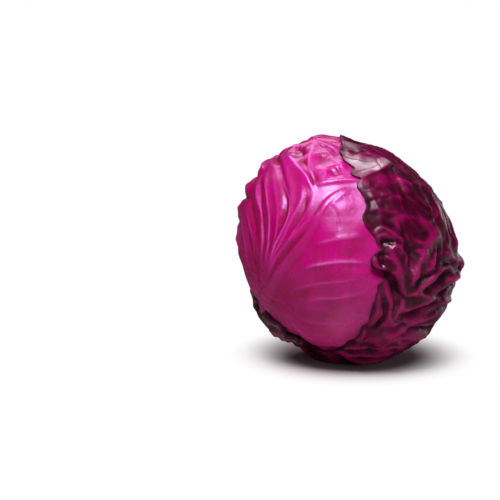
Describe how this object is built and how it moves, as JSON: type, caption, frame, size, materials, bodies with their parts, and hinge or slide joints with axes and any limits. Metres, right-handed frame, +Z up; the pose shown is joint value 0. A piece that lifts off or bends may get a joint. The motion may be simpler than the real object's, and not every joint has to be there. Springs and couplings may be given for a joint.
{
  "type": "red cabbage",
  "caption": "Round head of red cabbage lying on its side, with tightly wrapped purple leaves, trimmed leaf bases and a cut stalk.",
  "frame": {"origin": "middle of the small flat spot that the head rests on", "axes": "+Z up from the surface it rests on, -Y towards the front leaf, +X towards the outer leaf and the crown; the cut stalk points down at -X"},
  "size_m": [0.1515, 0.1504, 0.1558],
  "materials": {
    "outer_leaf": "satin",
    "front_leaf": "satin",
    "wrapper_leaf": "satin",
    "inner_leaf": "satin",
    "leaf_stump": "matte",
    "stalk": "matte"
  },
  "bodies": {
    "root": {"outer_leaf": "outer_leaf", "front_leaf": "front_leaf", "rear_leaf": "wrapper_leaf", "under_leaf": "wrapper_leaf", "shoulder_leaf": "wrapper_leaf", "inner_leaf_1": "inner_leaf", "inner_leaf_2": "inner_leaf", "inner_leaf_3": "inner_leaf", "inner_leaf_4": "inner_leaf", "inner_leaf_5": "inner_leaf", "heart": "inner_leaf", "leaf_stump_1": "leaf_stump", "leaf_stump_2": "leaf_stump", "leaf_stump_3": "leaf_stump", "stalk": "stalk"}
  },
  "joints": []
}
